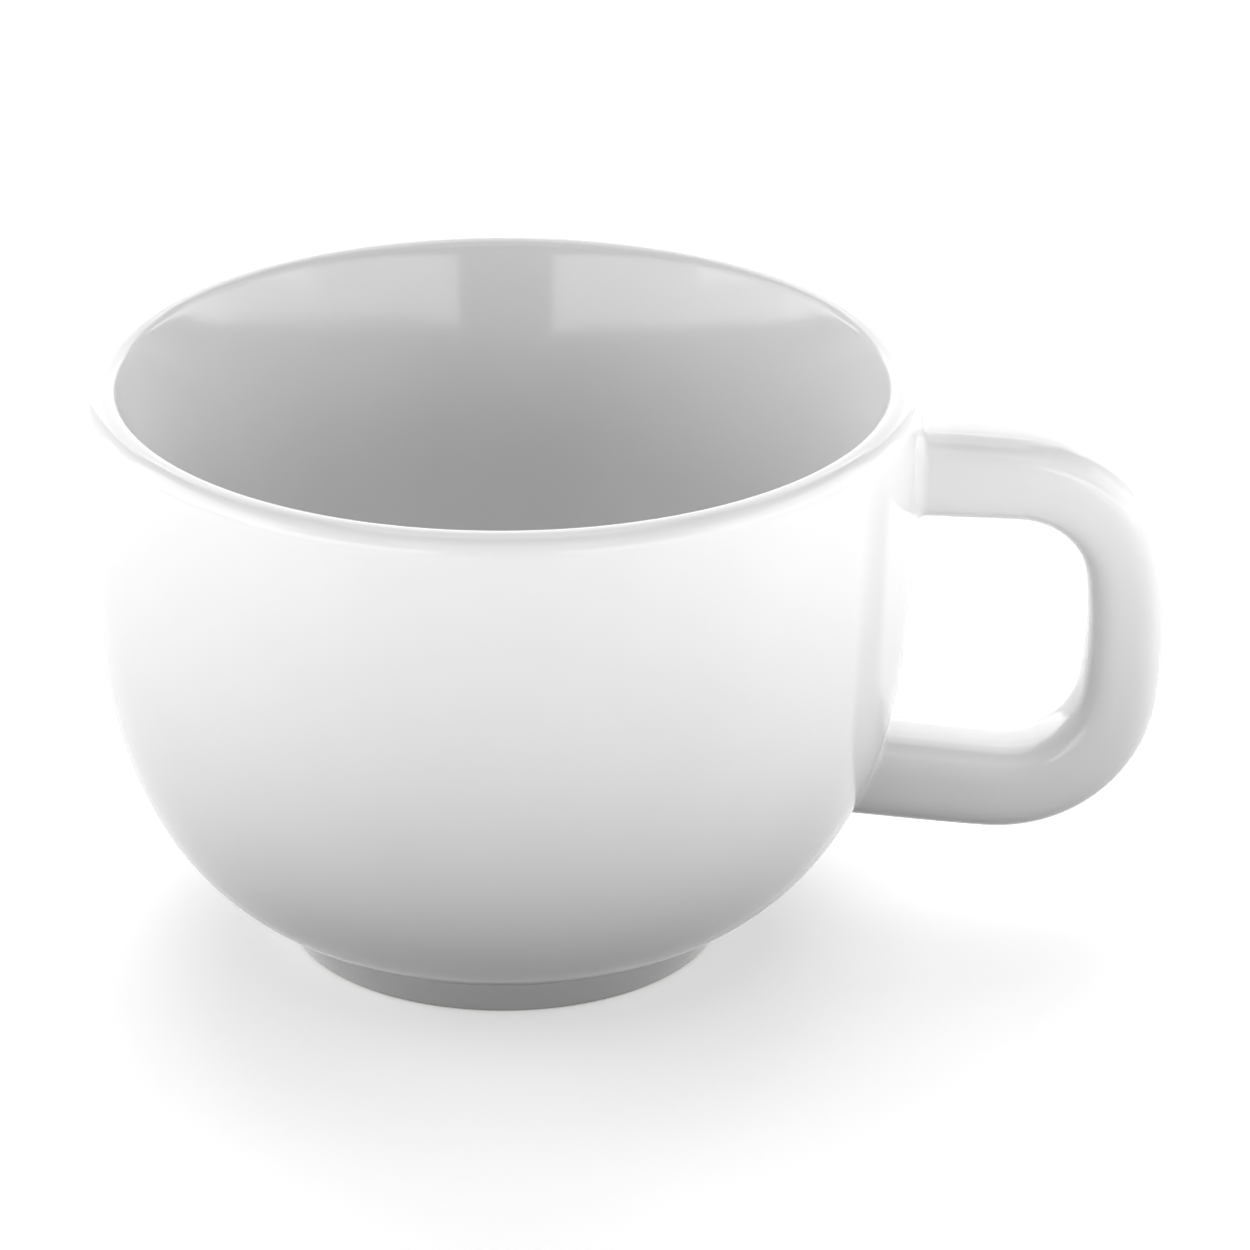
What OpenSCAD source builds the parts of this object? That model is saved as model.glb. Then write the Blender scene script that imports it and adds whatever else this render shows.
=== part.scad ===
/* [Bowl] */
// Outer diameter of the cup at its lip
rim_d = 90; // [76:0.5:110]
// Height of the cup from the standing plane to the top of the lip
cup_h = 64.6; // [60:0.2:84]
// Thickness of the finished lip, from its outside to its inside
lip_t = 3.5; // [2.8:0.1:5]
// Thickness of the finished floor over the foot
floor_t = 4.4; // [3:0.1:6]
// How upright the belly stays on its way down: higher keeps it upright longer
belly_fullness = 3.59; // [2.6:0.01:4.6]
// How the belly turns in to the foot: 2 turns like a quarter circle, lower cuts the corner
belly_roundness = 1.84; // [1.4:0.02:2.2]
// Radius at which the belly leaves the flat underside
belly_r = 19.4; // [17:0.1:20]
// Radius of the flat middle of the floor inside
well_r = 17.5; // [12:0.5:18]
// Radius of the rounding on the inside of the lip
lip_inner_r = 1.2; // [0.8:0.1:1.6]
// Lean of the inner wall right under the lip, in degrees from upright
lip_lean = 19; // [17:0.5:24]
// Lean of the inner wall under its flare, in degrees: from there it grows down to the floor
inside_lean = 13.2; // [10:0.2:16]
// Radius of the flare between these two leans
flare_r = 115; // [60:5:150]

/* [Foot] */
// Outer diameter of the foot ring in the standing plane
foot_d = 47.4; // [44:0.2:54]
// Height of the bowl's underside over the standing plane
foot_h = 3; // [2:0.1:5]
// Width of the foot ring in the standing plane
foot_w = 4.2; // [3:0.1:6]
// Lean of the foot's outer wall from upright, in degrees: it widens up to the belly
foot_lean = 33; // [10:1:36]
// Radius of the rounded edges beside the standing face
foot_edge_r = 0.8; // [0.4:0.1:1.2]

/* [Handle] */
// Reach of the handle beyond the lip
handle_reach = 27.2; // [24:0.1:34]
// Depth of the handle's upper face under the top of the lip, where it passes the lip's edge
handle_drop = 5.2; // [4.6:0.1:9]
// Height of the handle's lower face over the standing plane, under the lip's edge
handle_bottom = 13.3; // [12:0.1:18]
// Thickness of the handle's stem, seen from the side
handle_t = 8.3; // [6:0.1:9]
// Thickness of the handle right below the edge of the lip, where it flares to the bowl
handle_root_t = 9.8; // [8:0.1:11]
// Width of the handle, seen from its end
handle_w = 10.6; // [8:0.1:14]
// Squareness of the handle's section: 2 is an ellipse, higher has flatter faces and tighter edges
handle_squareness = 3.2; // [2.4:0.1:5]
// Radius of the upper bend, along the middle of the handle
upper_bend_r = 12.4; // [10:0.1:13]
// Radius of the lower bend, along the middle of the handle
lower_bend_r = 12.8; // [10:0.1:14]
// Droop of the upper arm on its way out, in degrees
upper_droop = 3; // [0:0.5:6]
// Rise of the lower arm on its way in, in degrees
lower_rise = 6; // [0:0.5:9]
// Bow of the stem: each half leans back from upright by this many degrees
stem_bow = 5; // [2:0.5:6]
// Radius of the bowed stem between its halves
stem_bow_r = 50; // [20:1:60]

/* [Joints] */
// Thickness of the slip film that holds the handle to the bowl
slip_t = 0.4; // [0.2:0.05:0.8]
// Width of the slip bead that is smoothed round each end of the handle
bead_w = 1; // [0.5:0.1:1.8]
// Height of the slip bead over the wall
bead_h = 0.8; // [0.4:0.1:1.4]

/* [Glaze] */
// Thickness of the glaze
glaze_t = 0.3; // [0.2:0.05:0.5]

/* [Hidden] */
$fn = 96;

// Steps along each wall and each rounding of the lip
wall_steps = 26;
lip_steps = 6;
// Spacing of the steps along a wall: above 1 they crowd together near the floor
step_crowding = 2;
// Steps round the handle's section, along each arm and round each bend
section_steps = 28;
arm_steps = 6;
bend_steps = 10;

biscuit_colour = "#efe8dc";
slip_colour = "#e4dacb";
glaze_colour = "#f7f6f3";

rim_r = rim_d / 2;
lip_outer_r = lip_t - lip_inner_r;
shoulder_z = cup_h - lip_outer_r;
lip_top_r = rim_r - lip_outer_r;
inner_shoulder_z = cup_h - lip_inner_r;
floor_z = foot_h + floor_t;
// Inside, the lip's rounding ends where the flare begins, and the flare ends at the top of the inner wall
lip_end_dir = 180 - lip_lean;
flare_end_dir = 180 - inside_lean;
flare_centre = [lip_top_r, inner_shoulder_z] + (lip_inner_r - flare_r) * along(lip_end_dir);
flare_end = flare_centre + flare_r * along(flare_end_dir);
// The power with which the inner wall widens, so that its top leans as the end of the flare does
inside_power = (flare_end.y - floor_z) * tan(inside_lean) / (flare_end.x - well_r);

foot_r = foot_d / 2;
foot_inner_r = foot_r - foot_w;
// The outer wall of the foot runs up past the belly, which cuts it, in this direction
foot_dir = 90 - foot_lean;
foot_run = (foot_h + lip_t) / sin(foot_dir);
foot_edge_centre_r = foot_r - foot_edge_r * tan(foot_dir / 2);
glaze_line = [foot_edge_centre_r, foot_edge_r] + foot_edge_r * along(foot_dir - 90);

// The handle's middle line lies in the plane y = 0. It has four straight stretches,
// with the directions below in degrees from +X towards +Z, and a bend between each two.
upper_dir = -upper_droop;
stem_upper_dir = stem_bow - 90;
stem_lower_dir = -stem_bow - 90;
lower_dir = -lower_rise - 180;
upper_point = [rim_r, cup_h - handle_drop - handle_root_t / 2];
lower_point = [rim_r, handle_bottom + handle_root_t / 2];
stem_x = rim_r + handle_reach - handle_t / 2;
stem_corner = [stem_x + stem_bow_r / cos(stem_bow) - stem_bow_r, (upper_point.y + lower_point.y) / 2];
upper_corner = crossing(upper_point, upper_dir, stem_corner, stem_upper_dir);
lower_corner = crossing(lower_point, lower_dir, stem_corner, stem_lower_dir);
// Both arms start at this share of the rim's radius, inside the wall that cuts them
root_share = 0.75;
upper_root = crossing(upper_corner, upper_dir, [root_share * rim_r, 0], 90);
lower_root = crossing(lower_corner, lower_dir, [root_share * rim_r, 0], 90);

function along(angle) = [cos(angle), sin(angle)];

// Where the line through a with direction da meets the line through b with direction db
function crossing(a, da, b, db) =
    let (u = along(da), v = along(db), w = b - a)
    a + u * (w.x * v.y - w.y * v.x) / (u.x * v.y - u.y * v.x);

// How far out the outer wall is at a share of its height, both from 0 to 1.
// It is a superellipse quarter that leaves the underside level and reaches the shoulder upright.
function belly_curve(share) =
    pow(1 - pow(1 - share, belly_fullness), 1 / belly_roundness);

// The same for the inner wall: a power curve that leaves the floor level and never gets quite upright
function inside_curve(share) = pow(share, inside_power);

// Shares of the height at which a wall has its points
height_shares = [for (i = [0 : wall_steps]) pow(i / wall_steps, step_crowding)];

outer_wall = [
    for (share = height_shares)
        [belly_r + (rim_r - belly_r) * belly_curve(share), foot_h + (shoulder_z - foot_h) * share]
];

inner_wall = [
    for (share = height_shares)
        [well_r + (flare_end.x - well_r) * inside_curve(share), floor_z + (flare_end.y - floor_z) * share]
];

function lip_points(centre, radius, from_angle, to_angle) = [
    for (i = [1 : lip_steps])
        centre + radius * along(from_angle + (to_angle - from_angle) * i / lip_steps)
];

function reversed(points) = [for (i = [len(points) - 1 : -1 : 0]) points[i]];

// The finished outside, from the foot up to the top of the lip
outside = concat(
    outer_wall,
    lip_points([lip_top_r, shoulder_z], lip_outer_r, 0, 90)
);

// The finished inside, from the top of the lip down to the middle of the floor
inside = concat(
    [[lip_top_r, cup_h]],
    lip_points([lip_top_r, inner_shoulder_z], lip_inner_r, 90, lip_end_dir),
    lip_points(flare_centre, flare_r, lip_end_dir, flare_end_dir),
    [for (i = [1 : wall_steps]) inner_wall[wall_steps - i]],
    [[0, floor_z]]
);

// The last direction of both outlines, and the first of the inside: level, towards the axis
inwards = 180;
outwards = 0;

function unit(v) = v / norm(v);
function left_of(v) = [-v.y, v.x];

// An outline moved by depth to its left, which is into the clay
function sunk(points, depth, first_dir) =
    let (last = len(points) - 1)
    [for (i = [0 : last])
        let (a = i == 0 ? along(first_dir) : unit(points[i] - points[i - 1]))
        let (b = i == last ? along(inwards) : unit(points[i + 1] - points[i]))
        let (mid = i == 0 ? a : i == last ? b : unit(a + b))
        let (reach = i == 0 || i == last ? depth : depth / (mid * a))
        points[i] + reach * left_of(mid)];

function sunk_outside(depth) = sunk(outside, depth, outwards);
function sunk_inside(depth) = sunk(inside, depth, inwards);

// The outside sunk by depth, or raised where depth is negative, filled up to the axis
module block_section(depth) {
    points = sunk_outside(depth);
    polygon(concat([[0, points[0].y]], points, [[0, points[len(points) - 1].y]]));
}

module bowl_block(depth) {
    rotate_extrude() block_section(depth);
}

// Corners of the handle's section with thickness t, grown on every side. It is a superellipse.
function section_points(t, grow) = [
    for (i = [0 : section_steps - 1])
        let (c = cos(360 * i / section_steps), s = sin(360 * i / section_steps))
        let (size = pow(pow(abs(c), handle_squareness) + pow(abs(s), handle_squareness), -1 / handle_squareness))
        [(t / 2 + grow) * c * size, (handle_w / 2 + grow) * s * size]
];

// Stations of the middle line are [point, direction]
function arm_stations(from_point, to_point, dir) = [
    for (i = [0 : arm_steps - 1])
        [from_point + (to_point - from_point) * i / arm_steps, dir]
];

function tangent_length(dir_in, dir_out, radius) = radius * tan((dir_in - dir_out) / 2);

// A clockwise bend round a corner of the middle line, from one direction to the next
function bend_stations(corner, dir_in, dir_out, radius) =
    let (start = corner - tangent_length(dir_in, dir_out, radius) * along(dir_in))
    let (centre = start + radius * along(dir_in - 90))
    [for (i = [0 : bend_steps])
        let (dir = dir_in + (dir_out - dir_in) * i / bend_steps)
        [centre + radius * along(dir + 90), dir]];

upper_bend = bend_stations(upper_corner, upper_dir, stem_upper_dir, upper_bend_r);
stem = bend_stations(stem_corner, stem_upper_dir, stem_lower_dir, stem_bow_r);
lower_bend = bend_stations(lower_corner, stem_lower_dir, lower_dir, lower_bend_r);
upper_arm = arm_stations(upper_root, upper_bend[0][0], upper_dir);
lower_arm = arm_stations(lower_root, lower_bend[bend_steps][0], lower_dir);
handle_line = concat(upper_arm, upper_bend, stem, lower_bend, reversed(lower_arm));

// Thickness of the handle at a distance x from the cup's axis: it grows from the stem to the wall
function thickness_at(x) =
    let (share = max(0, min(1, (stem_x - x) / (stem_x - rim_r))))
    handle_t + (handle_root_t - handle_t) * share * (2 - share);

// The handle's section carried along stations of its middle line
module sweep(stations, grow) {
    n = len(section_points(handle_t, grow));
    rings = len(stations);
    points = [
        for (station = stations)
            for (corner = section_points(thickness_at(station[0].x), grow))
                let (place = station[0] + corner.x * along(station[1] + 90))
                [place.x, corner.y, place.y]
    ];
    sides = [
        for (i = [0 : rings - 2])
            for (j = [0 : n - 1])
                let (k = (j + 1) % n)
                [i * n + k, (i + 1) * n + k, (i + 1) * n + j, i * n + j]
    ];
    first_end = [for (j = [n - 1 : -1 : 0]) j];
    last_end = [for (j = [0 : n - 1]) (rings - 1) * n + j];
    polyhedron(points, concat([first_end], sides, [last_end]));
}

// The whole loop, with both arms running on into the bowl
module handle_loop(grow) {
    sweep(handle_line, grow);
}

module upper_arm_end(grow) {
    sweep(upper_arm, grow);
}

module lower_arm_end(grow) {
    sweep(reversed(lower_arm), grow);
}

// The fired clay of the bowl, under its glaze
module bowl() {
    outer = sunk_outside(glaze_t);
    inner = sunk_inside(glaze_t);
    color(biscuit_colour)
        rotate_extrude()
            polygon(concat([[0, outer[0].y]], outer, [for (i = [1 : len(inner) - 1]) inner[i]]));
}

// Round of a foot edge about a centre that lies as high as its radius
function foot_edge(centre_r, from_angle, to_angle) = [
    for (i = [0 : lip_steps])
        [centre_r, foot_edge_r]
            + foot_edge_r * along(from_angle + (to_angle - from_angle) * i / lip_steps)
];

// The ring that the cup stands on. It is dry up to its rounded edges and glazed above them.
module foot_ring() {
    inset = glaze_line + glaze_t * left_of(along(foot_dir));
    top = inset + foot_run * along(foot_dir);
    color(biscuit_colour)
        rotate_extrude()
            difference() {
                polygon(concat(
                    foot_edge(foot_edge_centre_r, -90, foot_dir - 90),
                    [inset, top],
                    [[foot_inner_r + glaze_t, top.y], [foot_inner_r + glaze_t, foot_edge_r]],
                    foot_edge(foot_inner_r + foot_edge_r, 180, 270)
                ));
                block_section(glaze_t);
            }
}

// The cast handle, cut to the curve of the bowl and held off it by the slip film
module handle() {
    color(biscuit_colour)
        difference() {
            handle_loop(-glaze_t);
            bowl_block(glaze_t - slip_t);
        }
}

// The slip between the bowl and one end of the handle: a film, and the bead squeezed out of it.
// Its first child is that arm grown by the bead, and its second is the arm's clay.
module slip_joint() {
    color(slip_colour)
        difference() {
            intersection() {
                children(0);
                bowl_block(-bead_h);
            }
            bowl_block(glaze_t);
            difference() {
                children(1);
                bowl_block(glaze_t - slip_t);
            }
        }
}

module upper_handle_joint() {
    slip_joint() {
        upper_arm_end(bead_w);
        upper_arm_end(-glaze_t);
    }
}

module lower_handle_joint() {
    slip_joint() {
        lower_arm_end(bead_w);
        lower_arm_end(-glaze_t);
    }
}

// The glaze poured in: it covers the floor, the inner wall and the inner half of the lip
module inside_glaze() {
    color(glaze_colour)
        rotate_extrude()
            polygon(concat(inside, reversed(sunk_inside(glaze_t))));
}

// The glaze dipped on: it covers the outer half of the lip and the wall down to the foot
module outside_glaze() {
    top = [foot_r, 0] + foot_run * along(foot_dir);
    color(glaze_colour)
        difference() {
            rotate_extrude()
                difference() {
                    polygon(concat(outside, reversed(sunk_outside(glaze_t))));
                    polygon([[0, 0], [foot_r, 0], top, [0, top.y]]);
                }
            upper_arm_end(bead_w);
            lower_arm_end(bead_w);
        }
}

// The glaze round the handle, from bead to bead
module handle_glaze() {
    color(glaze_colour)
        difference() {
            handle_loop(0);
            handle_loop(-glaze_t);
            bowl_block(-bead_h);
        }
}

// The glaze on both sides of the foot and on the underside of the bowl within it
module foot_glaze() {
    rise = foot_run * along(foot_dir);
    inset = glaze_t * left_of(along(foot_dir));
    color(glaze_colour)
        rotate_extrude()
            difference() {
                union() {
                    polygon([glaze_line, glaze_line + rise, glaze_line + rise + inset, glaze_line + inset]);
                    translate([foot_inner_r, foot_edge_r]) square([glaze_t, foot_h]);
                    translate([0, foot_h]) square([foot_inner_r + glaze_t, foot_h]);
                }
                block_section(glaze_t);
            }
}

bowl();
foot_ring();
handle();
upper_handle_joint();
lower_handle_joint();
inside_glaze();
outside_glaze();
handle_glaze();
foot_glaze();
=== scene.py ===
import bpy
import numpy as np
from mathutils import Matrix, Vector


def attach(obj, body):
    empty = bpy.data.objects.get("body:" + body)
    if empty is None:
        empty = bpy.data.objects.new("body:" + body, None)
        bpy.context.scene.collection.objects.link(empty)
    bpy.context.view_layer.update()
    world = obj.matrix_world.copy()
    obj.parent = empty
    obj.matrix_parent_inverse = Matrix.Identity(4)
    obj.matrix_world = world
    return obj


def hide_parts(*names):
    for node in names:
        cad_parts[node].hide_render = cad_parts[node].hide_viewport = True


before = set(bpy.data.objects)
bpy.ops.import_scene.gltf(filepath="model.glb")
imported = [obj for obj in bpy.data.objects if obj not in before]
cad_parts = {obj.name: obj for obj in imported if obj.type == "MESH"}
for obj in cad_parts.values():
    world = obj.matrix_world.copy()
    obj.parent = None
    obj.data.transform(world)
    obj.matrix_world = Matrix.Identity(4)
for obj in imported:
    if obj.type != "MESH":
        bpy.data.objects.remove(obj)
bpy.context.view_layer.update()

# Sizes of the cup, as in the part's source: lengths in millimetres, and angles in degrees, but for FOOT_LEAN,
# which is in radians
MM = 0.001
RIM_R = 45.0
CUP_H = 64.6
LIP_T = 3.5
FLOOR_Z = 7.4
BELLY_FULLNESS = 3.59
BELLY_ROUNDNESS = 1.84
BELLY_R = 19.4
WELL_R = 17.5
LIP_INNER_R = 1.2
LIP_OUTER_R = LIP_T - LIP_INNER_R
LIP_LEAN = 19.0
INSIDE_LEAN = 13.2
FLARE_R = 115.0
GLAZE_T = 0.3
# The steps of a wall crowd together near its floor, where it turns most: they stand at the shares
# s^CROWDING of the height, with s in even steps
CROWDING = 2.6

FOOT_R = 23.7
FOOT_H = 3.0
FOOT_INNER_R = 19.5
FOOT_LEAN = np.radians(33.0)
FOOT_EDGE_R = 0.8
CREASE_R = 0.7
# The dry ring's clay runs this far up behind the glaze outside, and this far into the bowl inside
DRY_RING_RUN = 2.6
DRY_RING_SUNK = 0.2
# The wall's first point stands at least this far above the end of the hollow over the foot
SMALLEST_STEP = 0.02

HANDLE_REACH = 27.2
HANDLE_TOP = 59.4
HANDLE_BOTTOM = 13.3
HANDLE_T = 8.3
HANDLE_ROOT_T = 9.8
HANDLE_W = 10.6
UPPER_BEND_R = 12.4
LOWER_BEND_R = 12.8
UPPER_DROOP = 3.0
LOWER_RISE = 6.0
STEM_BOW = 5.0
STEM_BOW_R = 50.0
SECTION_POWER = 3.2
# The middle line starts and ends inside the cup's wall, which cuts the handle off
HANDLE_ROOT_R = 0.8 * RIM_R
# Where the middle of the stem stands farthest out
STEM_X = RIM_R + HANDLE_REACH - HANDLE_T / 2
# Distance of the handle's two ends from the cup's outer wall: the glaze ends behind its face, the clay
# in front of it
HANDLE_GLAZE_END = -0.3
HANDLE_CLAY_END = 0.1
# How far each joint's fillet reaches along arm and wall, how deep it is sunk in the wall, and the share of
# the way to its middle by which it is drawn in there
UPPER_FILLET = 1.3
LOWER_FILLET = 0.8
FILLET_SUNK = 0.35
FILLET_DRAWN_IN = 0.02

# Edges that turn by more than this many degrees stay sharp
SHARP_WALL = 40.0
SHARP_HANDLE = 60.0
SHARP_FILLET = 50.0


# Meshes


def mesh_object(name, points, faces, sharp_angle=SHARP_WALL):
    """An object at the origin from points in millimetres and a list of face arrays (quads or triangles)."""
    mesh = bpy.data.meshes.new(name)
    corners = np.concatenate([f.ravel() for f in faces])
    totals = np.concatenate([np.full(len(f), f.shape[1]) for f in faces])
    starts = np.concatenate([[0], np.cumsum(totals)[:-1]])
    mesh.vertices.add(len(points))
    mesh.vertices.foreach_set("co", (np.asarray(points, float) * MM).ravel())
    mesh.loops.add(len(corners))
    mesh.loops.foreach_set("vertex_index", corners)
    mesh.polygons.add(len(totals))
    mesh.polygons.foreach_set("loop_start", starts)
    mesh.update(calc_edges=True)
    mesh.validate()
    mesh.polygons.foreach_set("use_smooth", np.ones(len(mesh.polygons), bool))
    mesh.set_sharp_from_angle(angle=np.radians(sharp_angle))
    piece = bpy.data.objects.new(name, mesh)
    bpy.context.scene.collection.objects.link(piece)
    return piece


def grid_faces(rows, columns, wrap_rows, wrap_columns):
    """Quads of a grid of rows times columns points, closed in either direction where it wraps."""
    i = np.arange(rows if wrap_rows else rows - 1)[:, None]
    j = np.arange(columns if wrap_columns else columns - 1)[None, :]
    i2, j2 = (i + 1) % rows, (j + 1) % columns
    quads = [i * columns + j, i2 * columns + j, i2 * columns + j2, i * columns + j2]
    return np.stack(np.broadcast_arrays(*quads), -1).reshape(-1, 4)


def revolved(name, outline, turns=256):
    """Surface of revolution of a closed outline (r, z), with the clay on the left of its direction:
    point(i, t) = (r_i cos t, r_i sin t, z_i). A point with r = 0 becomes one vertex, a pole."""
    outline = np.asarray(outline, float)
    count = len(outline)
    angle = np.linspace(0, 2 * np.pi, turns, endpoint=False)
    rings = np.stack(
        [
            outline[:, :1] * np.cos(angle),
            outline[:, :1] * np.sin(angle),
            np.repeat(outline[:, 1:], turns, 1),
        ],
        -1,
    ).reshape(-1, 3)
    quads = grid_faces(count, turns, True, True)
    pole = np.repeat(outline[:, 0] < 1e-6, turns)
    first = np.arange(count * turns) // turns * turns
    index = np.where(pole, first, np.arange(count * turns))
    quads = index[quads]
    flat_a = quads[:, 0] == quads[:, 3]
    flat_b = quads[:, 1] == quads[:, 2]
    triangles = np.concatenate(
        [quads[flat_a & ~flat_b][:, :3], quads[flat_b & ~flat_a][:, [0, 1, 3]]]
    )
    quads = quads[~flat_a & ~flat_b]
    corners = np.concatenate([quads.ravel(), triangles.ravel()])
    used, packed = np.unique(corners, return_inverse=True)
    faces = [packed[: quads.size].reshape(-1, 4)[:, ::-1]]
    if len(triangles):
        faces.append(packed[quads.size :].reshape(-1, 3)[:, ::-1])
    return mesh_object(name, rings[used], faces)


# Lines and curves


def unit(v):
    """Vectors of length one along the given ones."""
    return v / np.linalg.norm(v, axis=-1, keepdims=True)


def direction(degrees):
    """The unit vector at an angle in degrees: (cos a, sin a)."""
    return np.array([np.cos(np.radians(degrees)), np.sin(np.radians(degrees))])


def crossing(a, u, b, v):
    """Where the line through a along u meets the line through b along v."""
    w = b - a
    return a + u * (w[0] * v[1] - w[1] * v[0]) / (u[0] * v[1] - u[1] * v[0])


def arc(centre, radius, start, stop, count):
    """Points on a circle, centre + radius (cos a, sin a), with a from start to stop in degrees."""
    a = np.radians(np.linspace(start, stop, count))
    return np.stack([centre[0] + radius * np.cos(a), centre[1] + radius * np.sin(a)], -1)


def rounded_corner(start, corner, stop, t):
    """The quadratic curve (1 - t)^2 start + 2 t (1 - t) corner + t^2 stop, which rounds a corner off."""
    return (1 - t) ** 2 * start + 2 * t * (1 - t) * corner + t**2 * stop


# The cup's walls, as outlines (r, z)


def belly(low_r, high_r, low_z, high_z, count=90):
    """Superellipse quarter from the floor up to the shoulder:
    r = low_r + (high_r - low_r) (1 - (1 - s)^fullness)^(1 / roundness), z = low_z + s (high_z - low_z)."""
    s = np.linspace(0, 1, count) ** CROWDING
    r = low_r + (high_r - low_r) * (1 - (1 - s) ** BELLY_FULLNESS) ** (1 / BELLY_ROUNDNESS)
    return np.stack([r, low_z + s * (high_z - low_z)], -1)


def outside_outline():
    """The finished outside, from the underside up to the top of the lip."""
    shoulder = CUP_H - LIP_OUTER_R
    wall = belly(BELLY_R, RIM_R, FOOT_H, shoulder)
    lip = arc((RIM_R - LIP_OUTER_R, shoulder), LIP_OUTER_R, 0, 90, count=16)
    return np.concatenate([wall, lip[1:]])


def inside_outline(wall_count=90, floor_count=12):
    """The finished inside, from the top of the lip down to the middle of the floor. The lip's roll runs on
    into a slow flare, an arc on which the wall's lean from upright falls from LIP_LEAN to INSIDE_LEAN. Below
    the flare r = WELL_R + (high_r - WELL_R) s^power, z = FLOOR_Z + s (high_z - FLOOR_Z), and the power is the
    one that lets the wall run on from the flare without a bend."""
    roll_end, flare_end = 180 - LIP_LEAN, 180 - INSIDE_LEAN
    lip = arc((RIM_R - LIP_OUTER_R, CUP_H - LIP_INNER_R), LIP_INNER_R, 90, roll_end, count=12)
    flare = arc(lip[-1] - FLARE_R * direction(roll_end), FLARE_R, roll_end, flare_end, count=16)
    high_r, high_z = flare[-1]
    power = (high_z - FLOOR_Z) * np.tan(np.radians(INSIDE_LEAN)) / (high_r - WELL_R)
    s = np.linspace(1, 0, wall_count) ** CROWDING
    wall_r = WELL_R + (high_r - WELL_R) * s**power
    wall = np.stack([wall_r, FLOOR_Z + (high_z - FLOOR_Z) * s], -1)
    floor = np.stack([np.linspace(WELL_R, 0, floor_count), np.full(floor_count, FLOOR_Z)], -1)
    return np.concatenate([lip, flare[1:], wall[1:], floor[1:]])


def moved_left(outline, depth):
    """The outline moved by depth to the left of its own direction, which is into the clay."""
    step = unit(np.diff(outline, axis=0))
    ahead = np.concatenate([step, step[-1:]])
    behind = np.concatenate([step[:1], step])
    mid = unit(ahead + behind)
    reach = depth / np.sum(mid * ahead, -1, keepdims=True)
    return outline + reach * np.stack([-mid[:, 1], mid[:, 0]], -1)


def glaze_coat(outline):
    """A coat of glaze: the finished outline and the same moved into the clay, closed at both ends."""
    return np.concatenate([outline, moved_left(outline, GLAZE_T)[::-1]])


# The handle


def path_points(corner_bends, start, end, steps=40):
    """Straight stretches joined by arcs: each bend is (corner, radius). Points at even turns of each arc."""
    points = [start[None]]
    stops = [start, *[corner for corner, _ in corner_bends], end]
    for k, (corner, radius) in enumerate(corner_bends):
        into = unit(stops[k + 1] - stops[k])
        out = unit(stops[k + 2] - stops[k + 1])
        turn = np.arccos(np.clip(into @ out, -1, 1))
        begin = stops[k + 1] - into * radius * np.tan(turn / 2)
        centre = begin + radius * np.array([into[1], -into[0]])
        a = np.linspace(0, turn, steps)[:, None]
        aside = np.array([-into[1], into[0]])
        points.append(centre + radius * (np.cos(a) * aside + np.sin(a) * into))
    points.append(end[None])
    return np.concatenate(points)


def evenly(points, count):
    """Points at even distances along a line through the given ones."""
    length = np.concatenate([[0], np.cumsum(np.linalg.norm(np.diff(points, axis=0), axis=1))])
    at = np.linspace(0, length[-1], count)
    return np.stack([np.interp(at, length, points[:, k]) for k in range(points.shape[1])], -1)


def softened(points, width):
    """The line with each point moved to a weighted mean of its neighbours, width to each side, so that no
    bend starts abruptly. Both ends are carried on by their own mirror image."""
    kernel = np.hanning(2 * width + 3)[1:-1]
    kernel /= kernel.sum()
    before = 2 * points[0] - points[width:0:-1]
    after = 2 * points[-1] - points[-2 : -width - 2 : -1]
    padded = np.concatenate([before, points, after])
    return np.stack([np.convolve(padded[:, k], kernel, "valid") for k in range(points.shape[1])], -1)


def handle_line(count=300):
    """The middle line of the handle, in the plane y = 0: two arms and a bowed stem, joined by three bends."""
    upper = np.array([RIM_R, HANDLE_TOP - HANDLE_ROOT_T / 2])
    lower = np.array([RIM_R, HANDLE_BOTTOM + HANDLE_ROOT_T / 2])
    bow = np.radians(STEM_BOW)
    middle = np.array([STEM_X + STEM_BOW_R / np.cos(bow) - STEM_BOW_R, (upper[1] + lower[1]) / 2])
    upper_dir, lower_dir = direction(-UPPER_DROOP), direction(-LOWER_RISE)
    top = crossing(upper, upper_dir, middle, direction(STEM_BOW - 90))
    bottom = crossing(lower, lower_dir, middle, direction(-STEM_BOW - 90))
    root = np.array([HANDLE_ROOT_R, 0])
    start = crossing(top, upper_dir, root, direction(90))
    end = crossing(bottom, lower_dir, root, direction(90))
    bends = [(top, UPPER_BEND_R), (middle, STEM_BOW_R), (bottom, LOWER_BEND_R)]
    return softened(evenly(path_points(bends, start, end), count), width=10)


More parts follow.
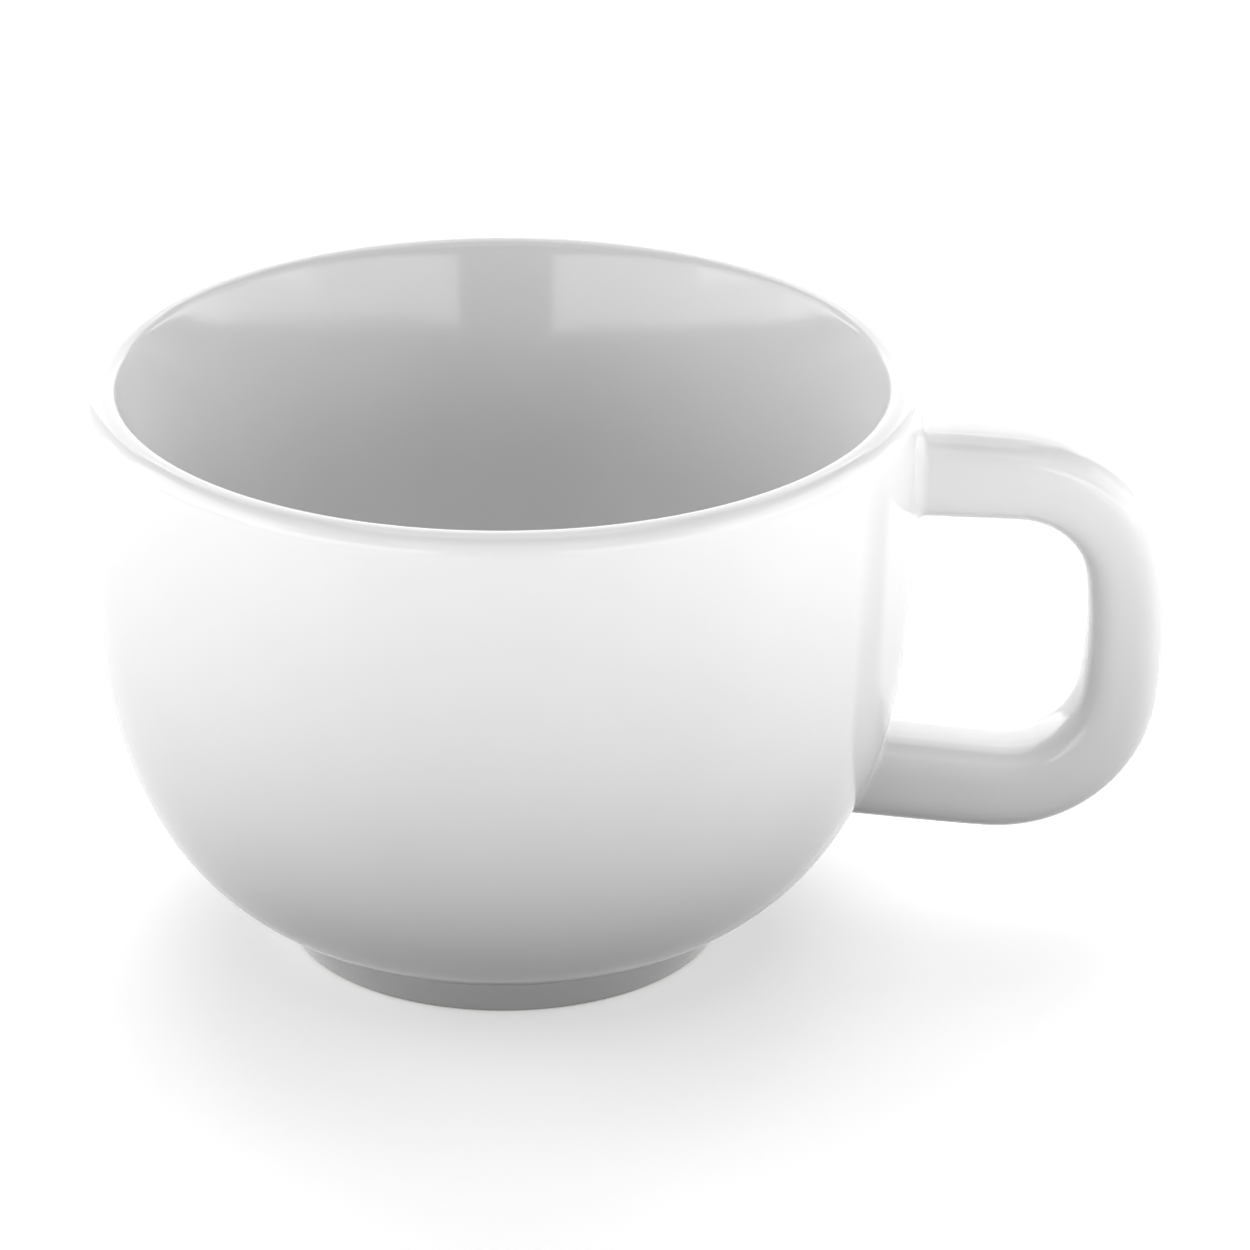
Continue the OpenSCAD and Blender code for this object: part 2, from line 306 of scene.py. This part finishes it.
def handle_rings(line, grow=0.0, around=96):
    """The handle's section carried along its middle line: a superellipse |x / a|^p + |y / b|^p = 1 with
    a = half the thickness, which flares to the cup's wall, b = half the width, and x along the line's normal.
    grow moves the surface out by that much, and in where it is below nought."""
    along = unit(np.gradient(line, axis=0))
    normal = np.stack([-along[:, 1], along[:, 0]], -1)
    share = np.clip((STEM_X - line[:, 0]) / (STEM_X - RIM_R), 0, 1)
    flare = share * (2 - share)
    half_t = (HANDLE_T + (HANDLE_ROOT_T - HANDLE_T) * flare) / 2 + grow
    t = np.linspace(0, 2 * np.pi, around, endpoint=False)
    cx, cy = np.cos(t), np.sin(t)
    size = (np.abs(cx) ** SECTION_POWER + np.abs(cy) ** SECTION_POWER) ** (-1 / SECTION_POWER)
    x, y = cx * size, cy * size * (HANDLE_W / 2 + grow)
    side = x[None, :] * half_t[:, None]
    return np.stack(
        [
            line[:, :1] + normal[:, :1] * side,
            np.broadcast_to(y, side.shape),
            line[:, 1:] + normal[:, 1:] * side,
        ],
        -1,
    )


def wall_depth(points):
    """How far points lie outside the cup's outer wall: their radius less the wall's at their height."""
    outline = outside_outline()
    r = np.interp(points[..., 2], outline[:, 1], outline[:, 0])
    return np.hypot(points[..., 0], points[..., 1]) - r


def tube(name, rings):
    """A closed tube through rings of points, with a fan of triangles over each end."""
    rows, around = rings.shape[:2]
    points = np.concatenate([rings.reshape(-1, 3), rings[:1].mean(1), rings[-1:].mean(1)])
    j = np.arange(around)
    k = (j + 1) % around
    last = (rows - 1) * around
    start_fan = np.stack([np.full(around, rows * around), k, j], -1)
    end_fan = np.stack([np.full(around, rows * around + 1), last + j, last + k], -1)
    quads = grid_faces(rows, around, False, True)
    return mesh_object(name, points, [quads, np.concatenate([start_fan, end_fan])], SHARP_HANDLE)


def joint_fillet(name, rings, size, flip, steps=14):
    """The slip smoothed into the corner between one arm and the wall. For each place round the arm it is a
    rounded corner from the arm, size off the wall, to the wall, size off the arm. It is closed behind,
    inside arm and wall. The rings run from inside the cup outwards; flip turns the faces, which depends on
    the arm."""
    outline = outside_outline()
    depth = wall_depth(rings)

    def on_arm(level):
        """The points where each line along the arm lies level off the cup's outer wall."""
        rows = np.arange(len(rings))[:, None]
        below = depth < level
        low = np.argmax(np.where(below, rows, -1), 0)
        high = low + 1
        j = np.arange(rings.shape[1])
        d0, d1 = depth[low, j], depth[high, j]
        f = ((level - d0) / (d1 - d0))[:, None]
        return rings[low, j] * (1 - f) + rings[high, j] * f

    corner = on_arm(0.0)
    arm = on_arm(size)
    back = on_arm(-FILLET_SUNK)
    centre = corner.mean(0)
    out = np.stack([corner[:, 1] - centre[1], corner[:, 2] - centre[2]], -1)
    ring_step = np.roll(corner, -1, 0) - np.roll(corner, 1, 0)
    side = np.stack([ring_step[:, 2], -ring_step[:, 1]], -1)
    side = unit(side) * np.sign(np.sum(side * out, -1, keepdims=True))
    y, z = corner[:, 1] + side[:, 0] * size, corner[:, 2] + side[:, 1] * size
    r = np.interp(z, outline[:, 1], outline[:, 0])
    wall = np.stack([np.sqrt(r**2 - y**2), y, z], -1)
    under_r = r - FILLET_SUNK
    under = np.stack([np.sqrt(under_r**2 - y**2), y, z], -1)
    t = np.linspace(0, 1, steps)[:, None, None]
    curve = rounded_corner(arm, corner, wall, t)
    inner = back + (centre - back) * FILLET_DRAWN_IN
    loop = np.concatenate([curve, under[None], inner[None]])
    faces = grid_faces(len(loop), rings.shape[1], True, True)
    return mesh_object(name, loop.reshape(-1, 3), [faces[:, ::-1] if flip else faces], SHARP_FILLET)


# The coats of glaze and the foot, as outlines (r, z)


def foot_outside(z):
    """Radius of the foot's leaning outer wall at height z."""
    return FOOT_R + z * np.tan(FOOT_LEAN)


def foot_rise():
    """The unit vector up along the foot's leaning outer wall."""
    return np.array([np.sin(FOOT_LEAN), np.cos(FOOT_LEAN)])


def foot_edge_centre():
    """Centre of the foot's rounded outer edge, whose arc touches the standing plane and the leaning wall."""
    reach = FOOT_EDGE_R * np.tan((np.pi / 2 - FOOT_LEAN) / 2)
    return np.array([FOOT_R - reach, FOOT_EDGE_R])


def foot_edge_angle():
    """Where on that arc, in degrees, the leaning wall starts."""
    return np.degrees(-FOOT_LEAN)


def crease_outline(count=10):
    """The small hollow where glaze gathers between the foot's wall and the belly: a rounded corner."""
    wall = outside_outline()
    row = np.argmax(wall[:, 0] - foot_outside(wall[:, 1]) > 0)
    near, far = wall[row - 1], wall[row]
    d0, d1 = near[0] - foot_outside(near[1]), far[0] - foot_outside(far[1])
    corner = near + (far - near) * (-d0 / (d1 - d0))
    start = corner - CREASE_R * foot_rise()
    stop = corner + CREASE_R * unit(far - near)
    return rounded_corner(start, corner, stop, np.linspace(0, 1, count)[:, None])


def outer_coat_outline():
    """The wall's glaze, from the end of the hollow over the foot up to the top of the lip."""
    stop = crease_outline()[-1]
    wall = outside_outline()
    return np.concatenate([stop[None], wall[wall[:, 1] > stop[1] + SMALLEST_STEP]])


def foot_coat_outline():
    """The glaze on the foot's outside, from its rounded edge up to the end of the hollow."""
    start = foot_edge_centre() + FOOT_EDGE_R * direction(foot_edge_angle())
    crease = crease_outline()
    t = np.linspace(0, 1, 16)[:, None]
    return np.concatenate([start + (crease[0] - start) * t, crease[1:]])


def underside_outline(count=10):
    """The glaze under the bowl and down the inside of the foot, with a hollow of its own in the corner."""
    hollow_r = FOOT_INNER_R - CREASE_R
    roof = np.stack([np.linspace(0, hollow_r, count), np.full(count, FOOT_H)], -1)
    corner = arc((hollow_r, FOOT_H - CREASE_R), CREASE_R, 90, 0, count=8)
    wall = np.array([[FOOT_INNER_R, FOOT_H / 2], [FOOT_INNER_R, FOOT_EDGE_R]])
    return np.concatenate([roof[:-1], corner, wall])


def dry_ring_outline():
    """The foot ring's clay: rounded at both edges of its standing face, and sunk under the glaze above."""
    outer = arc(foot_edge_centre(), FOOT_EDGE_R, -90, foot_edge_angle(), count=10)
    rise = foot_rise()
    inset = outer[-1] + GLAZE_T * np.array([-rise[1], rise[0]])
    top = inset + DRY_RING_RUN * rise
    inner = arc((FOOT_INNER_R + FOOT_EDGE_R, FOOT_EDGE_R), FOOT_EDGE_R, 180, 270, count=10)
    sunk_r = FOOT_INNER_R + GLAZE_T
    behind = np.array([[sunk_r, FOOT_H + DRY_RING_SUNK], [sunk_r, FOOT_EDGE_R]])
    return np.concatenate([outer, [inset, top], behind, inner])


# Pieces


def between_walls(rings, level):
    """The rings cut off at both ends where they come nearer to the cup's outer wall than level,
    each line along the handle shared out evenly between its own two ends."""
    depth = wall_depth(rings)
    rows, around = depth.shape
    half = rows // 2
    j = np.arange(around)
    first = half - 1 - np.argmax(depth[:half][::-1] < level, 0)
    last = half + np.argmax(depth[half:] < level, 0)
    start = first + (level - depth[first, j]) / (depth[first + 1, j] - depth[first, j])
    stop = last - (level - depth[last, j]) / (depth[last - 1, j] - depth[last, j])
    at = start + (stop - start) * np.linspace(0, 1, rows)[:, None]
    low = np.clip(at.astype(int), 0, rows - 2)
    f = (at - low)[..., None]
    return rings[low, j] * (1 - f) + rings[low + 1, j] * f


def handle_coat(line):
    """The handle's glaze: its finished surface and the same sunk by GLAZE_T, joined at both ends."""
    outer = between_walls(handle_rings(line), HANDLE_GLAZE_END)
    inner = between_walls(handle_rings(line, -GLAZE_T), HANDLE_GLAZE_END)
    loop = np.concatenate([outer, inner[::-1]])
    faces = grid_faces(len(loop), loop.shape[1], True, True)
    return mesh_object("handle_glaze_coat", loop.reshape(-1, 3), [faces], SHARP_HANDLE)


def build_pieces(glaze, biscuit):
    """Every piece of the scene, with its material and the nodes of the part that it takes the place of.
    The bowl is the part's own node, and only gets its material."""
    line = handle_line()
    rings = handle_rings(line)
    third = len(line) // 3
    clay_rings = between_walls(handle_rings(line, -GLAZE_T), HANDLE_CLAY_END)
    parts = [
        (revolved("inner_glaze_coat", glaze_coat(inside_outline())), glaze, "glaze", ["inside_glaze"]),
        (revolved("outer_glaze_coat", glaze_coat(outer_coat_outline())), glaze, "glaze", ["outside_glaze"]),
        (revolved("foot_glaze_coat", glaze_coat(foot_coat_outline())), glaze, "glaze", ["foot_glaze"]),
        (revolved("underside_glaze_coat", glaze_coat(underside_outline())), glaze, "glaze", ["foot_glaze"]),
        (revolved("dry_foot_ring", dry_ring_outline()), biscuit, "biscuit", ["foot_ring"]),
        (handle_coat(line), glaze, "glaze", ["handle_glaze"]),
        (tube("handle_clay", clay_rings), biscuit, "biscuit", ["handle"]),
        (
            joint_fillet("upper_joint_fillet", rings[:third], UPPER_FILLET, flip=True),
            glaze,
            "glaze",
            ["upper_handle_joint"],
        ),
        (
            joint_fillet("lower_joint_fillet", rings[-third:][::-1], LOWER_FILLET, flip=False),
            glaze,
            "glaze",
            ["lower_handle_joint"],
        ),
    ]
    for piece, material, slot, nodes in parts:
        piece.data.materials.append(material)
        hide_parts(*nodes)
        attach(piece, "root")
    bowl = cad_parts["bowl"]
    for place in bowl.material_slots:
        place.material = biscuit


# Materials

# The glaze's white and the clay under it, each between two tones, and the specks that darken the clay
WHITE_LOW = (0.73, 0.73, 0.73)
WHITE_HIGH = (0.75, 0.75, 0.75)
CLAY_DARK = (0.70, 0.665, 0.60)
CLAY_PALE = (0.80, 0.77, 0.71)
IRON_SPECK = (0.35, 0.27, 0.20)
NO_SPECK = (1.0, 1.0, 1.0)
GLAZE_ROUGHNESS = (0.07, 0.13)
CLAY_ROUGHNESS = (0.72, 0.92)
# The floor's grey in the light that it throws up, its grey where it is seen, and the glow added to that
FLOOR_BOUNCE = 0.08
FLOOR_SEEN = 0.95
FLOOR_GLOW = 0.3
# The even light from all round, in times plain white
WORLD_LEVEL = 0.08


def grey(level):
    """A grey as a node's colour."""
    return (level, level, level, 1.0)


def new_material(name):
    """A new material, its nodes and links, and its shader."""
    material = bpy.data.materials.new(name)
    material.use_nodes = True
    nodes, links = material.node_tree.nodes, material.node_tree.links
    return material, nodes, links, nodes["Principled BSDF"]


def noise(nodes, links, coordinates, scale, detail, roughness=0.5):
    """A noise texture on the piece's own coordinates, with about scale waves to the metre."""
    node = nodes.new("ShaderNodeTexNoise")
    node.inputs["Scale"].default_value = scale
    node.inputs["Detail"].default_value = detail
    node.inputs["Roughness"].default_value = roughness
    links.new(coordinates.outputs["Object"], node.inputs["Vector"])
    return node


def ramp(nodes, links, source, stops):
    """A colour ramp on source, with stops of (place, colour)."""
    node = nodes.new("ShaderNodeValToRGB")
    elements = node.color_ramp.elements
    for k, (place, colour) in enumerate(stops):
        element = elements[k] if k < 2 else elements.new(place)
        element.position = place
        element.color = (*colour, 1)
    links.new(source, node.inputs["Fac"])
    return node


def spread(nodes, links, source, low, high):
    """A value that runs from low to high while source runs from nought to one."""
    node = nodes.new("ShaderNodeMapRange")
    node.inputs["To Min"].default_value = low
    node.inputs["To Max"].default_value = high
    links.new(source, node.inputs["Value"])
    return node


def bump(nodes, links, height, strength, distance, below=None):
    """A bump up to distance high, in metres, over the one below it."""
    node = nodes.new("ShaderNodeBump")
    node.inputs["Strength"].default_value = strength
    node.inputs["Distance"].default_value = distance
    links.new(height, node.inputs["Height"])
    if below:
        links.new(below.outputs["Normal"], node.inputs["Normal"])
    return node


def glaze_material():
    """Clear gloss glaze over white porcelain: broad, faint clouding of the white, a gloss that varies a
    little, slow waves where the glaze ran, and a fine orange peel."""
    material, nodes, links, shader = new_material("clear gloss glaze on porcelain")
    place = nodes.new("ShaderNodeTexCoord")
    clouds = noise(nodes, links, place, scale=38, detail=3)
    white = ramp(nodes, links, clouds.outputs["Fac"], [(0.35, WHITE_LOW), (0.65, WHITE_HIGH)])
    links.new(white.outputs["Color"], shader.inputs["Base Color"])
    patches = noise(nodes, links, place, scale=90, detail=2)
    gloss = spread(nodes, links, patches.outputs["Fac"], *GLAZE_ROUGHNESS)
    links.new(gloss.outputs["Result"], shader.inputs["Roughness"])
    slow = noise(nodes, links, place, scale=55, detail=1)
    waves = bump(nodes, links, slow.outputs["Fac"], strength=0.25, distance=0.0002)
    fine = noise(nodes, links, place, scale=900, detail=2)
    peel = bump(nodes, links, fine.outputs["Fac"], strength=0.12, distance=0.00002, below=waves)
    links.new(peel.outputs["Normal"], shader.inputs["Normal"])
    shader.inputs["IOR"].default_value = 1.5
    return material


def biscuit_material():
    """Fired porcelain without glaze: matt, a little warmer than the glaze, with a fine grain and a few iron
    specks."""
    material, nodes, links, shader = new_material("dry biscuit porcelain")
    place = nodes.new("ShaderNodeTexCoord")
    grain = noise(nodes, links, place, scale=2600, detail=4, roughness=0.65)
    tone = ramp(nodes, links, grain.outputs["Fac"], [(0.3, CLAY_DARK), (0.7, CLAY_PALE)])
    specks = nodes.new("ShaderNodeTexVoronoi")
    specks.inputs["Scale"].default_value = 420
    links.new(place.outputs["Object"], specks.inputs["Vector"])
    spot = ramp(nodes, links, specks.outputs["Distance"], [(0.05, IRON_SPECK), (0.11, NO_SPECK)])
    mix = nodes.new("ShaderNodeMix")
    mix.data_type = "RGBA"
    mix.blend_type = "MULTIPLY"
    mix.inputs["Factor"].default_value = 0.6
    links.new(tone.outputs["Color"], mix.inputs["A"])
    links.new(spot.outputs["Color"], mix.inputs["B"])
    links.new(mix.outputs["Result"], shader.inputs["Base Color"])
    patches = noise(nodes, links, place, scale=300, detail=3)
    rub = spread(nodes, links, patches.outputs["Fac"], *CLAY_ROUGHNESS)
    links.new(rub.outputs["Result"], shader.inputs["Roughness"])
    grit = bump(nodes, links, grain.outputs["Fac"], strength=0.5, distance=0.00005)
    links.new(grit.outputs["Normal"], shader.inputs["Normal"])
    return material


def seen_directly(nodes, links):
    """One for rays from the camera and from gloss or glass, nought for the rays that light the object."""
    path = nodes.new("ShaderNodeLightPath")
    seen = path.outputs["Is Camera Ray"]
    for ray in ("Is Glossy Ray", "Is Transmission Ray"):
        either = nodes.new("ShaderNodeMath")
        either.operation = "MAXIMUM"
        links.new(seen, either.inputs[0])
        links.new(path.outputs[ray], either.inputs[1])
        seen = either.outputs[0]
    return seen


def floor_material():
    """A pale floor: grey in the light that it throws up at the cup, and nearly white where it is seen."""
    material, nodes, links, shader = new_material("pale studio floor")
    tint = nodes.new("ShaderNodeMix")
    tint.data_type = "RGBA"
    tint.inputs["A"].default_value = grey(FLOOR_BOUNCE)
    tint.inputs["B"].default_value = grey(FLOOR_SEEN)
    seen = seen_directly(nodes, links)
    links.new(seen, tint.inputs["Factor"])
    glow = nodes.new("ShaderNodeMath")
    glow.operation = "MULTIPLY"
    glow.inputs[1].default_value = FLOOR_GLOW
    links.new(seen, glow.inputs[0])
    links.new(glow.outputs[0], shader.inputs["Emission Strength"])
    shader.inputs["Emission Color"].default_value = grey(1)
    links.new(tint.outputs["Result"], shader.inputs["Base Color"])
    shader.inputs["Roughness"].default_value = 1.0
    shader.inputs["Specular IOR Level"].default_value = 0.0
    return material


# Stage


def build_floor(reach=3000.0):
    """The floor, a square that runs reach millimetres to each side of the cup."""
    corners = reach * np.array([[-1, -1, 0], [1, -1, 0], [1, 1, 0], [-1, 1, 0]])
    floor = mesh_object("studio_floor", corners, [np.array([[0, 1, 2, 3]])])
    floor.data.materials.append(floor_material())


def build_world():
    """Even light from all round, and plain white where it is seen."""
    world = bpy.data.worlds.new("studio")
    bpy.context.scene.world = world
    world.use_nodes = True
    nodes, links = world.node_tree.nodes, world.node_tree.links
    light = nodes["Background"]
    light.inputs["Color"].default_value = grey(1)
    light.inputs["Strength"].default_value = WORLD_LEVEL
    seen = nodes.new("ShaderNodeBackground")
    seen.inputs["Color"].default_value = grey(1)
    seen.inputs["Strength"].default_value = 1.0
    mix = nodes.new("ShaderNodeMixShader")
    links.new(seen_directly(nodes, links), mix.inputs["Fac"])
    links.new(light.outputs["Background"], mix.inputs[1])
    links.new(seen.outputs["Background"], mix.inputs[2])
    links.new(mix.outputs["Shader"], nodes["World Output"].inputs["Surface"])


def softbox(name, centre, aim, width, height, level):
    """A flat soft lamp, width by height in metres, whose face is as bright as level times plain white."""
    data = bpy.data.lights.new(name, "AREA")
    data.shape = "RECTANGLE"
    data.size = width
    data.size_y = height
    data.energy = level * np.pi * width * height
    lamp = bpy.data.objects.new(name, data)
    bpy.context.scene.collection.objects.link(lamp)
    look = Vector(aim) - Vector(centre)
    lamp.matrix_world = Matrix.Translation(centre) @ look.to_track_quat("-Z", "Y").to_matrix().to_4x4()
    lamp.visible_camera = False
    return lamp


def table_card(name, centre, width, height, level):
    """A bright card that lies on the floor and faces up: it lights the wall from below and isn't mirrored."""
    x, y = centre
    card = softbox(name, (x, y, CARD_Z), (x, y, 1.0), width, height, level)
    card.visible_glossy = False


def build_camera():
    """The photograph's view, fitted to the cup's outline: angles in radians, lengths in millimetres."""
    data = bpy.data.cameras.new("camera")
    data.sensor_width = 36.0
    data.lens = 187.2
    data.clip_start = 0.01
    data.clip_end = 20.0
    elevation, roll, distance = 0.41684, 0.00437, 711.72
    back = Vector((0, -np.cos(elevation), np.sin(elevation)))
    right = Vector((1, 0, 0))
    up = back.cross(right)
    right, up = np.cos(roll) * right + np.sin(roll) * up, np.cos(roll) * up - np.sin(roll) * right
    target = Vector((13.27, 0, 35.37))
    turn = Matrix((right, up, back)).transposed().to_4x4()
    camera = bpy.data.objects.new("camera", data)
    camera.matrix_world = Matrix.Translation((target + distance * back) * MM) @ turn
    bpy.context.scene.collection.objects.link(camera)
    bpy.context.scene.camera = camera


# Each lamp: its name, its centre and what it looks at, its width and height, all in metres, and how bright
# its face is in times plain white. The cup's inner wall mirrors the two light walls and crosses them over:
# its left half shows the right wall, and its right half the left one. Their lower edges, at 0.175 m on the
# left and 0.195 m on the right, make the lower edge of the bright band, and the space between them makes the
# darker gap in it.
LAMPS = [
    ("left_softbox", (-1.0, 0.0, 0.55), (0, 0, 0.03), 1.2, 0.57, 1.95),
    ("right_softbox", (1.0, 0.0, 0.55), (0, 0, 0.03), 1.2, 0.57, 1.5),
    ("back_softbox", (0.0, 1.0, 0.4), (0, 0, 0.03), 1.4, 0.8, 1.9),
    ("high_front_softbox", (0.0, -0.75, 0.9), (0, 0, 0.03), 1.0, 0.4, 0.9),
    ("high_back_softbox", (0.0, 0.75, 0.9), (0, 0, 0.03), 1.0, 0.5, 1.8),
    ("top_softbox", (0.0, 0.26, 1.05), (0, 0, 0.03), 0.6, 0.46, 2.0),
    ("left_light_wall", (-1.048, -0.379, 0.2675), (-0.545, 0.367, 0.2675), 1.934, 0.185, 2.8),
    ("right_light_wall", (1.048, -0.379, 0.2775), (0.545, 0.367, 0.2775), 1.934, 0.165, 2.7),
    ("left_side_panel", (-0.927, 0.375, 0.205), (0, 0, 0.205), 0.61, 0.19, 2.8),
    ("right_side_panel", (0.927, 0.375, 0.205), (0, 0, 0.205), 0.61, 0.19, 2.8),
    ("low_left_panel", (-0.62, -0.65, 0.09), (0, 0, 0.09), 0.8, 0.16, 1.5),
    ("low_right_panel", (0.62, -0.65, 0.09), (0, 0, 0.09), 0.8, 0.16, 1.5),
]
# Each card: its name, where its middle lies on the floor, its width and depth, in metres, and its brightness
CARD_Z = 0.003
CARDS = [
    ("front_left_card", (-0.3, -0.32), 0.44, 0.44, 5.05),
    ("front_right_card", (0.3, -0.32), 0.44, 0.44, 5.15),
    ("left_card", (-0.34, 0.1), 0.44, 0.4, 1.6),
    ("right_card", (0.36, 0.1), 0.44, 0.4, 3.3),
]

build_pieces(glaze_material(), biscuit_material())
build_floor()
build_world()
for lamp in LAMPS:
    softbox(*lamp)
for card in CARDS:
    table_card(*card)
build_camera()
bpy.context.scene.view_settings.view_transform = "Standard"
